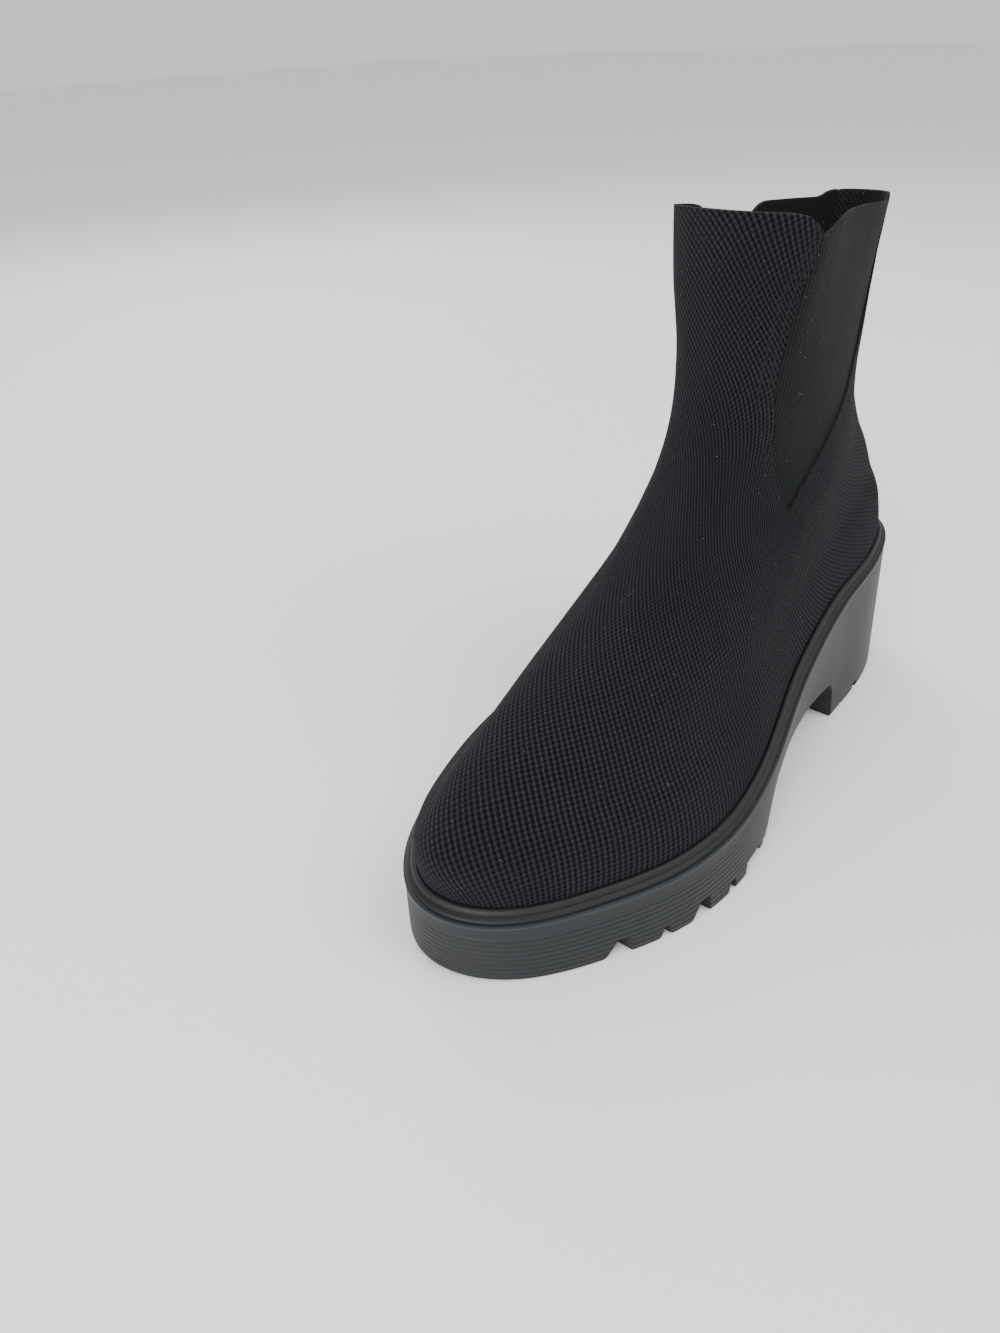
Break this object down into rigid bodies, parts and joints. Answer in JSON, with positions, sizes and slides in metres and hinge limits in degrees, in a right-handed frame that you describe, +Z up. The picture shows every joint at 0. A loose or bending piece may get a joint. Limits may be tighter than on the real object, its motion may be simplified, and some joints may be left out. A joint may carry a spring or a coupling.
{
  "type": "knit ankle boot",
  "caption": "Left knit sock-style ankle boot with side elastic gores, open collar and a lugged wedge unit sole with a ramped waist and high block heel.",
  "frame": {"origin": "centre of the bounding box in plan, on the floor under the sole", "axes": "+X to the toe, +Y to the wearer's left, +Z up"},
  "size_m": [0.2624, 0.1004, 0.1927],
  "materials": {
    "outsole": "satin slate black with fine ribs",
    "welt": "satin black",
    "upper": "matte black coarse knit",
    "gore": "matte black ribbed elastic",
    "insole": "matte black"
  },
  "bodies": {
    "root": {"outsole": "outsole", "welt": "welt", "upper": "upper", "gore_left": "gore", "gore_right": "gore", "insole": "insole"}
  },
  "joints": []
}
